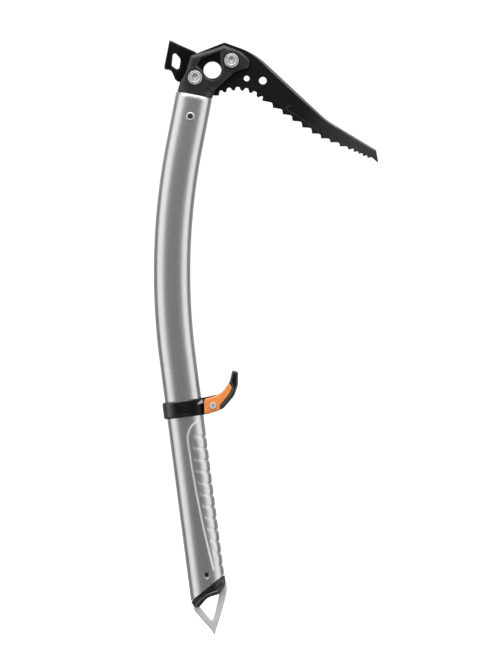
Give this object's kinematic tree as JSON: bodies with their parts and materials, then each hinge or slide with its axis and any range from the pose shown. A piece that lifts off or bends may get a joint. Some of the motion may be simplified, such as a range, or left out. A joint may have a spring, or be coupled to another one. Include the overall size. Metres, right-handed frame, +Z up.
{
  "type": "ice axe",
  "caption": "Short technical ice axe: toothed pick and hammer bolted to a forged head, bowed oval tube shaft, sliding lever-locked handrest, steel spike.",
  "frame": {"origin": "centre of the carabiner eye in the head, on the middle plane", "axes": "+Z up from the spike to the head, +X towards the pick, +Y to the far side of the blade's plane"},
  "size_m": [0.1973, 0.0254, 0.5218],
  "materials": {
    "shaft_aluminium": "satin anodised",
    "head_steel": "forged, dark coated",
    "pick_steel": "blackened, ground edges",
    "hammer_steel": "forged, black coated",
    "bolt_steel": "zinc plated",
    "rivet_steel": "satin",
    "black_plastic": "moulded",
    "orange_plastic": "moulded",
    "spike_steel": "ground and tumbled",
    "spring_steel": "plain"
  },
  "bodies": {
    "axe": {"shaft": "shaft_aluminium", "head_body": "head_steel", "pick": "pick_steel", "hammer": "hammer_steel", "front_head_bolt": "bolt_steel", "front_head_nut": "bolt_steel", "rear_head_bolt": "bolt_steel", "rear_head_nut": "bolt_steel", "head_rivet": "rivet_steel", "spike_ferrule": "black_plastic", "spike": "spike_steel", "spike_pin": "rivet_steel"},
    "handrest": {"handrest_band": "black_plastic", "lever_pin": "rivet_steel", "lever_pin_clip": "rivet_steel", "lever_spring": "spring_steel"},
    "lever": {"lever": "orange_plastic", "lever_hook": "black_plastic", "jam_pawl": "spring_steel"}
  },
  "joints": [
    {"name": "handrest_slide", "type": "slide", "parent": "axe", "child": "handrest", "axis": [-0.1297, 0, 0.9916], "range_m": [-0.13, 0.035]},
    {"name": "lever_pivot", "type": "hinge", "parent": "handrest", "child": "lever", "pos_m": [0.00049, 0, -0.29506], "axis": [0, -1, 0], "range_deg": [0, 25], "stiffness_Nm_per_rad": 0.02, "springref_deg": -28.65, "deforming": ["lever_spring"]}
  ]
}
